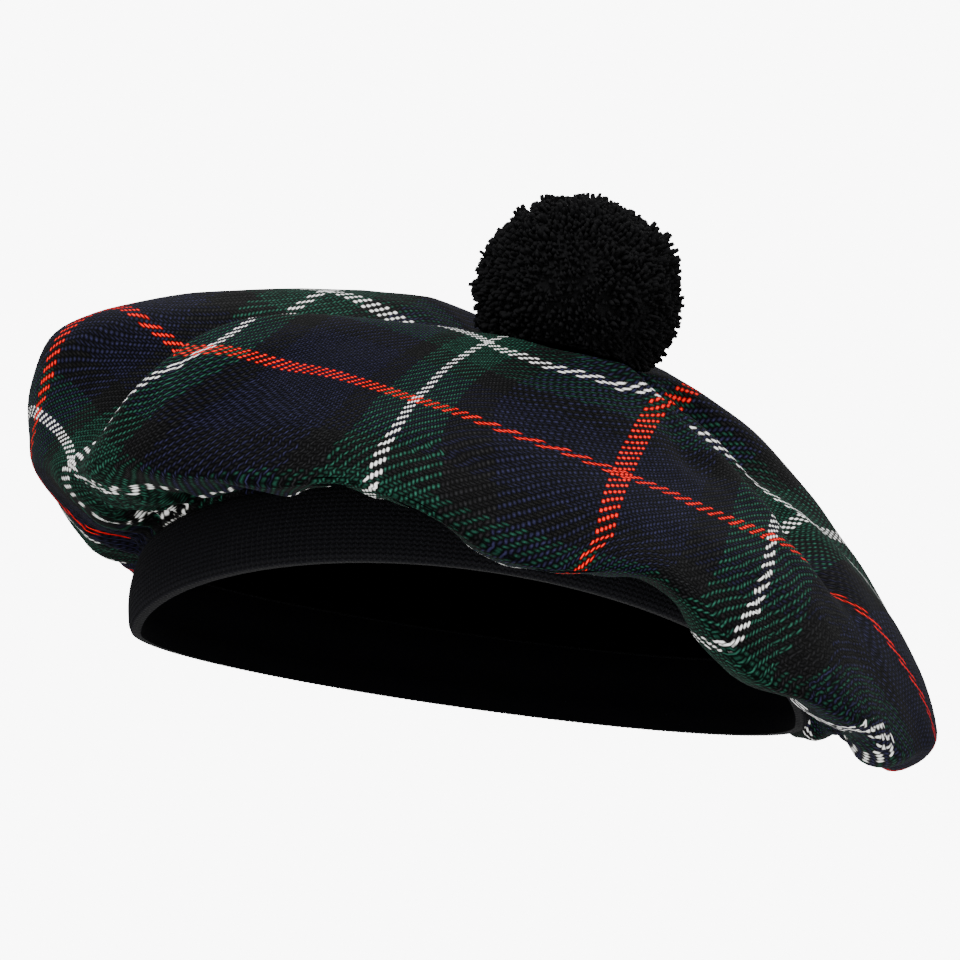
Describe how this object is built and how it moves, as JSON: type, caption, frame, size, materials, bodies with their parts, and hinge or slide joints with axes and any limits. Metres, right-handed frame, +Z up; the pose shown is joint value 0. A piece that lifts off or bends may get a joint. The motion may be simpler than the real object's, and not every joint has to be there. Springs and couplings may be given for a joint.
{
  "type": "tam o shanter",
  "caption": "Soft tartan wool tam: a full round crown that hangs to one side, gathered into a ribbed knitted headband, with a cut yarn pompom on top.",
  "frame": {"origin": "centre of the headband's lower edge, where the head goes in", "axes": "+Z up the head's own axis, +X to the side where the crown hangs down, -Y to the side that the picture looks at"},
  "size_m": [0.2511, 0.2515, 0.1505],
  "materials": {
    "tartan_wool": "woven twill, matte, with light fuzz",
    "black_knit": "ribbed knit, matte",
    "black_yarn": "cut yarn pile, matte"
  },
  "bodies": {
    "root": {"crown": "tartan_wool", "headband": "black_knit", "pompom": "black_yarn"}
  },
  "joints": []
}
